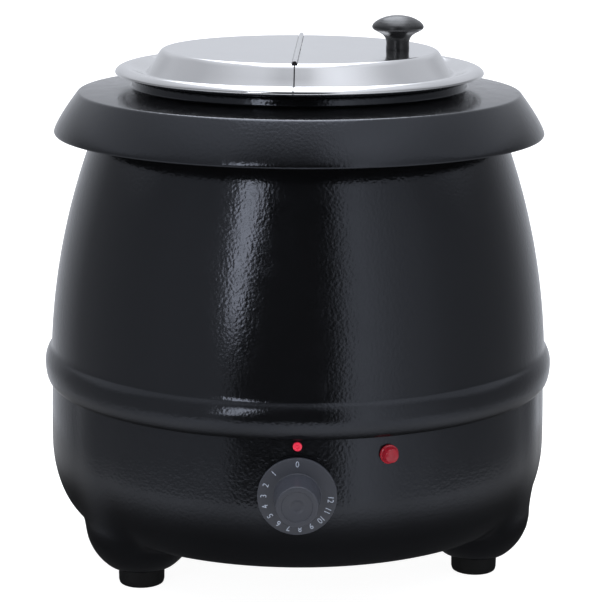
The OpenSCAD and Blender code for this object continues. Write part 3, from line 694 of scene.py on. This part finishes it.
kp = [(0, 0), (7.8, 0), (8.0, 0.5), (7.8, 2.0), (7.65, 3.8), (7.8, 5.8), (8.5, 7.8), (9.9, 9.6), (12.1, 11.1), (14.6, 12.3), (16.6, 13.4), (17.5, 14.6),
      (17.55, 15.6), (16.9, 17.0), (15.2, 18.7), (12.4, 20.4), (8.6, 21.9), (4.4, 22.75), (0, 23.0)]
kl = softened(np.array(kp[1:]), 0.2, 0.55)
kl = np.vstack([[(0, 0)], simplified(kl, 0.01, 4.0)])
kl[-1] = (0, 22.98)
v, f = turned(np.vstack([kl[1:], [(0, 13.0), (2.03, 13.0), (2.03, 0.0)]]), 96)
v = [tuple(LID_FRAME @ Vector((x + KNOB_AT * MM, y, z + (LID_Z + 0.02) * MM))) for x, y, z in v]
build("knob_moulding", v, f, M["knob_plastic"], "flap", "knob", 40)

# ------------------------------------------------------------------ camera, light, floor
cam = bpy.data.cameras.new("camera")
cam.sensor_fit, cam.sensor_width, cam.lens = "HORIZONTAL", 36.0, 2208.0 / 607.0 * 36.0
cam.clip_start, cam.clip_end = 0.05, 50
camera = bpy.data.objects.new("camera", cam)
camera.location = (0, -1.4984, 0.5116)
camera.rotation_euler = (Matrix.Rotation(math.radians(-0.139), 3, "Z") @ Matrix.Rotation(math.radians(90 - 12.59), 3, "X") @ Matrix.Rotation(math.radians(0.35), 3, "Z")).to_euler()
SCENE.collection.objects.link(camera)
SCENE.camera = camera
SCENE.view_settings.view_transform = "Standard"
SCENE.view_settings.look = "None"

world = bpy.data.worlds.new("studio")
SCENE.world = world
world.use_nodes = True
nt = world.node_tree
nt.nodes.clear()


def wn(kind, **props):
    n = nt.nodes.new(kind)
    for kk, vv in props.items():
        setattr(n, kk, vv)
    return n


def wm(op, a, b=None):
    n = wn("ShaderNodeMath", operation=op)
    for i, q in enumerate((a, b)):
        if q is None:
            continue
        if isinstance(q, (int, float)):
            n.inputs[i].default_value = q
        else:
            nt.links.new(q, n.inputs[i])
    return n.outputs[0]


def step_up(value, at, soft):
    n = wn("ShaderNodeMapRange", interpolation_type="SMOOTHSTEP")
    n.inputs["From Min"].default_value = at - soft
    n.inputs["From Max"].default_value = at + soft
    nt.links.new(value, n.inputs["Value"])
    return n.outputs["Result"]


def band(value, lo, hi, soft_lo, soft_hi):
    return wm("MULTIPLY", step_up(value, lo, soft_lo), wm("SUBTRACT", 1.0, step_up(value, hi, soft_hi)))


tc = wn("ShaderNodeTexCoord")
sep = wn("ShaderNodeSeparateXYZ")
nt.links.new(tc.outputs["Generated"], sep.inputs[0])
X, Y, Z = sep.outputs
AZ = wm("MULTIPLY", wm("ARCTAN2", X, wm("MULTIPLY", Y, -1.0)), 180 / math.pi)
EL = wm("MULTIPLY", wm("ARCSINE", Z), 180 / math.pi)
ABS = wm("ABSOLUTE", AZ)


def ramp(value, stops, to_node=None, links=None):
    """Straight-line levels of a value between stops: [(position 0..1, level)]."""
    n = (to_node or nt.nodes).new("ShaderNodeValToRGB")
    el = n.color_ramp.elements
    while len(el) > 1:
        el.remove(el[-1])
    for i, (pos, lv) in enumerate(stops):
        e = el[0] if i == 0 else el.new(pos)
        e.position = pos
        e.color = (lv, lv, lv, 1)
    (links or nt.links).new(value, n.inputs["Fac"])
    return n.outputs["Color"]


def by_azimuth(levels):
    return [((a + 180) / 360, lv) for a, lv in levels]


# walls of the studio by azimuth, at eye level and higher up
TURN = wm("ADD", wm("DIVIDE", AZ, 360.0), 0.5)
WALL = [(-180, 0.72), (-150, 0.6), (-133, 0.42), (-121, 0.27), (-105, 0.27), (-80, 0.30), (-60, 0.35), (-46, 0.34), (-38, 0.36), (-31, 0.34), (-27, 0.05),
        (-20, 0.02), (14, 0.02), (18.5, 0.22), (23, 0.9), (29, 0.98), (38, 0.76), (48, 0.56), (60, 0.46), (70, 0.34), (82, 0.28), (95, 0.25), (108, 0.23),
        (122, 0.26), (135, 0.4), (150, 0.6), (180, 0.72)]
HIGH = [(-180, 0.8), (-120, 0.6), (-62, 0.55), (-42, 0.5), (-30, 0.32), (-20, 0.14), (0, 0.11), (11, 0.2), (20, 0.62), (30, 0.85), (42, 0.9), (62, 0.75), (90, 0.6), (130, 0.65), (180, 0.8)]
rise = step_up(wm("ADD", EL, wm("MULTIPLY", step_up(ABS, 78, 20), 17.0)), 34, 7)
wall = wm("ADD", wm("MULTIPLY", ramp(TURN, by_azimuth(WALL)), wm("SUBTRACT", 1.0, rise)), wm("MULTIPLY", ramp(TURN, by_azimuth(HIGH)), rise))
floor_line = step_up(EL, -18.8, 0.9)
wall_part = wm("MULTIPLY", wm("MULTIPLY", wall, wm("SUBTRACT", 1.0, step_up(EL, 60, 9))), floor_line)
# ceiling: levels at half so that the ramp stays below one
UP = wm("DIVIDE", EL, 90.0)
ceiling = ramp(UP, [(0.0, 0.0), (0.44, 0.0), (0.51, 0.05), (0.578, 0.12), (0.622, 0.2), (0.667, 0.31), (0.711, 0.43), (0.778, 0.52), (1.0, 0.56)])
# large overhead softbox, a little behind the kettle
lift = wm("MAXIMUM", Z, 0.05)
XZ, YZ = wm("DIVIDE", X, lift), wm("DIVIDE", Y, lift)
over = wm("MULTIPLY", wm("MULTIPLY", band(XZ, -0.36, 0.27, 0.12, 0.12), band(YZ, -0.2, 1.9, 0.26, 0.25)), step_up(EL, 20, 4))
# the tall narrow softbox at the front left leans a little to the right at its top
lean = wm("SUBTRACT", AZ, wm("MULTIPLY", EL, 0.33))
strip = wm("MULTIPLY", wm("MULTIPLY", step_up(AZ, -31.9, 1.2), wm("SUBTRACT", 1.0, step_up(lean, -28.4, 1.6))), wm("MULTIPLY", step_up(EL, 2.0, 3.5), wm("SUBTRACT", 1.0, step_up(EL, 31.5, 5))))
AROUND = [(-180, 0.7), (-125, 0.45), (-100, 0.42), (-60, 0.7), (-42, 0.86), (-25, 0.74), (-15, 0.82), (5, 0.97), (22, 1.0), (35, 0.84), (50, 0.85), (65, 0.75), (90, 0.45), (125, 0.45), (180, 0.7)]
below = wm("MULTIPLY", wm("MULTIPLY", wm("SUBTRACT", 1.0, floor_line), ramp(TURN, by_azimuth(AROUND))), wm("ADD", wm("MULTIPLY", step_up(EL, -42, 5), 0.88), 0.07))
total = None
for mask, power in ((wall_part, 1.0), (strip, 4.4), (ceiling, 2.0), (over, 3.0), (below, 1.0)):
    t = wm("MULTIPLY", mask, power)
    total = t if total is None else wm("ADD", total, t)
bg = wn("ShaderNodeBackground")
comb = wn("ShaderNodeCombineColor")
nt.links.new(wm("MULTIPLY", total, 0.965), comb.inputs[0])
nt.links.new(total, comb.inputs[1])
nt.links.new(wm("MULTIPLY", total, 1.08), comb.inputs[2])
nt.links.new(comb.outputs[0], bg.inputs["Color"])
white = wn("ShaderNodeBackground")
white.inputs["Color"].default_value = (1, 1, 1, 1)
white.inputs["Strength"].default_value = 1.05
lp = wn("ShaderNodeLightPath")
mixw = wn("ShaderNodeMixShader")
nt.links.new(lp.outputs["Is Camera Ray"], mixw.inputs[0])
nt.links.new(bg.outputs[0], mixw.inputs[1])
nt.links.new(white.outputs[0], mixw.inputs[2])
wo = wn("ShaderNodeOutputWorld")
nt.links.new(mixw.outputs[0], wo.inputs["Surface"])


def area(name, loc, target, size, power, glossy=True):
    li = bpy.data.lights.new(name, "AREA")
    li.shape, li.size, li.size_y, li.energy = "RECTANGLE", size[0], size[1], power
    ob = bpy.data.objects.new(name, li)
    ob.location = loc
    ob.rotation_euler = (Vector(target) - Vector(loc)).to_track_quat("-Z", "Y").to_euler()
    ob.visible_glossy = glossy
    SCENE.collection.objects.link(ob)
    return ob


area("overhead_softbox", (0, -0.1, 2.2), (0, 0, 0), (2.6, 2.6), 40, glossy=False)

def ground(name, radius, z, mat, seg=128):
    me = bpy.data.meshes.new(name)
    pts = [(radius * math.cos(2 * math.pi * i / seg), radius * math.sin(2 * math.pi * i / seg), z) for i in range(seg)]
    me.from_pydata(pts, [], [tuple(range(seg))])
    me.materials.append(mat)
    ob = bpy.data.objects.new(name, me)
    SCENE.collection.objects.link(ob)
    return ob


fm = Mat("floor_paper", (0.4, 0.4, 0.4), 0.9)
fm.color(fm.mix(fm.noise(3, 2), (0.39, 0.39, 0.39), (0.41, 0.41, 0.41)))
fm.p.inputs["Specular IOR Level"].default_value = 0.0
fm.p.inputs["Emission Color"].default_value = (1, 1, 1, 1)
fm.p.inputs["Emission Strength"].default_value = 0.95
# clear from underneath, so that the kettle's underside can be looked at through it
ft = fm.m.node_tree
f_geo = ft.nodes.new("ShaderNodeNewGeometry")
f_clear = ft.nodes.new("ShaderNodeBsdfTransparent")
f_mix = ft.nodes.new("ShaderNodeMixShader")
f_out = next(n for n in ft.nodes if n.type == "OUTPUT_MATERIAL")
ft.links.new(f_geo.outputs["Backfacing"], f_mix.inputs[0])
ft.links.new(fm.p.outputs[0], f_mix.inputs[1])
ft.links.new(f_clear.outputs[0], f_mix.inputs[2])
ft.links.new(f_mix.outputs[0], f_out.inputs["Surface"])
floor = ground("floor", 9.0, 0.0, fm.m)
floor.visible_glossy = False

# what the lacquer sees of the floor: a glowing card, dim beside the kettle as painted shadow of the kettle, lighter
# farther out
gm = bpy.data.materials.new("floor_glow")
gm.use_nodes = True
gn, gl = gm.node_tree.nodes, gm.node_tree.links
gn.clear()
g_tc = gn.new("ShaderNodeTexCoord")
g_sep = gn.new("ShaderNodeSeparateXYZ")
gl.new(g_tc.outputs["Object"], g_sep.inputs[0])
g_len = gn.new("ShaderNodeVectorMath")
g_len.operation = "LENGTH"
gl.new(g_tc.outputs["Object"], g_len.inputs[0])
g_neg = gn.new("ShaderNodeMath")
g_neg.operation = "MULTIPLY"
g_neg.inputs[1].default_value = -1.0
gl.new(g_sep.outputs[1], g_neg.inputs[0])
g_az = gn.new("ShaderNodeMath")
g_az.operation = "ARCTAN2"
gl.new(g_sep.outputs[0], g_az.inputs[0])
gl.new(g_neg.outputs[0], g_az.inputs[1])
g_turn = gn.new("ShaderNodeMath")
g_turn.operation = "MULTIPLY_ADD"
g_turn.inputs[1].default_value = 1 / (2 * math.pi)
g_turn.inputs[2].default_value = 0.5
gl.new(g_az.outputs[0], g_turn.inputs[0])
around = ramp(g_turn.outputs[0], by_azimuth(AROUND), gn, gl)
# painted shadow: the glow is kept low close to the kettle, where its shadow falls on the floor
outward = ramp(g_len.outputs["Value"], [(0.0, 0.06), (0.205, 0.06), (0.235, 0.12), (0.262, 0.28), (0.30, 0.6), (0.34, 0.85), (0.38, 0.97), (1.0, 0.95)], gn, gl)
g_mul = gn.new("ShaderNodeMath")
g_mul.operation = "MULTIPLY"
gl.new(around, g_mul.inputs[0])
gl.new(outward, g_mul.inputs[1])
g_em = gn.new("ShaderNodeEmission")
g_em.inputs["Color"].default_value = (0.93, 0.95, 1.0, 1)
gl.new(g_mul.outputs[0], g_em.inputs["Strength"])
g_edge = gn.new("ShaderNodeMapRange")
g_edge.interpolation_type = "SMOOTHSTEP"
g_edge.inputs["From Min"].default_value = 0.40
g_edge.inputs["From Max"].default_value = 0.44
gl.new(g_len.outputs["Value"], g_edge.inputs["Value"])
g_clear = gn.new("ShaderNodeBsdfTransparent")
g_mix = gn.new("ShaderNodeMixShader")
gl.new(g_edge.outputs["Result"], g_mix.inputs[0])
gl.new(g_em.outputs[0], g_mix.inputs[1])
gl.new(g_clear.outputs[0], g_mix.inputs[2])
g_out = gn.new("ShaderNodeOutputMaterial")
gl.new(g_mix.outputs[0], g_out.inputs["Surface"])
glow = ground("floor_glow", 0.445, 0.0004, gm)
glow.visible_camera = glow.visible_diffuse = glow.visible_shadow = glow.visible_transmission = glow.visible_volume_scatter = False

bpy.context.view_layer.update()
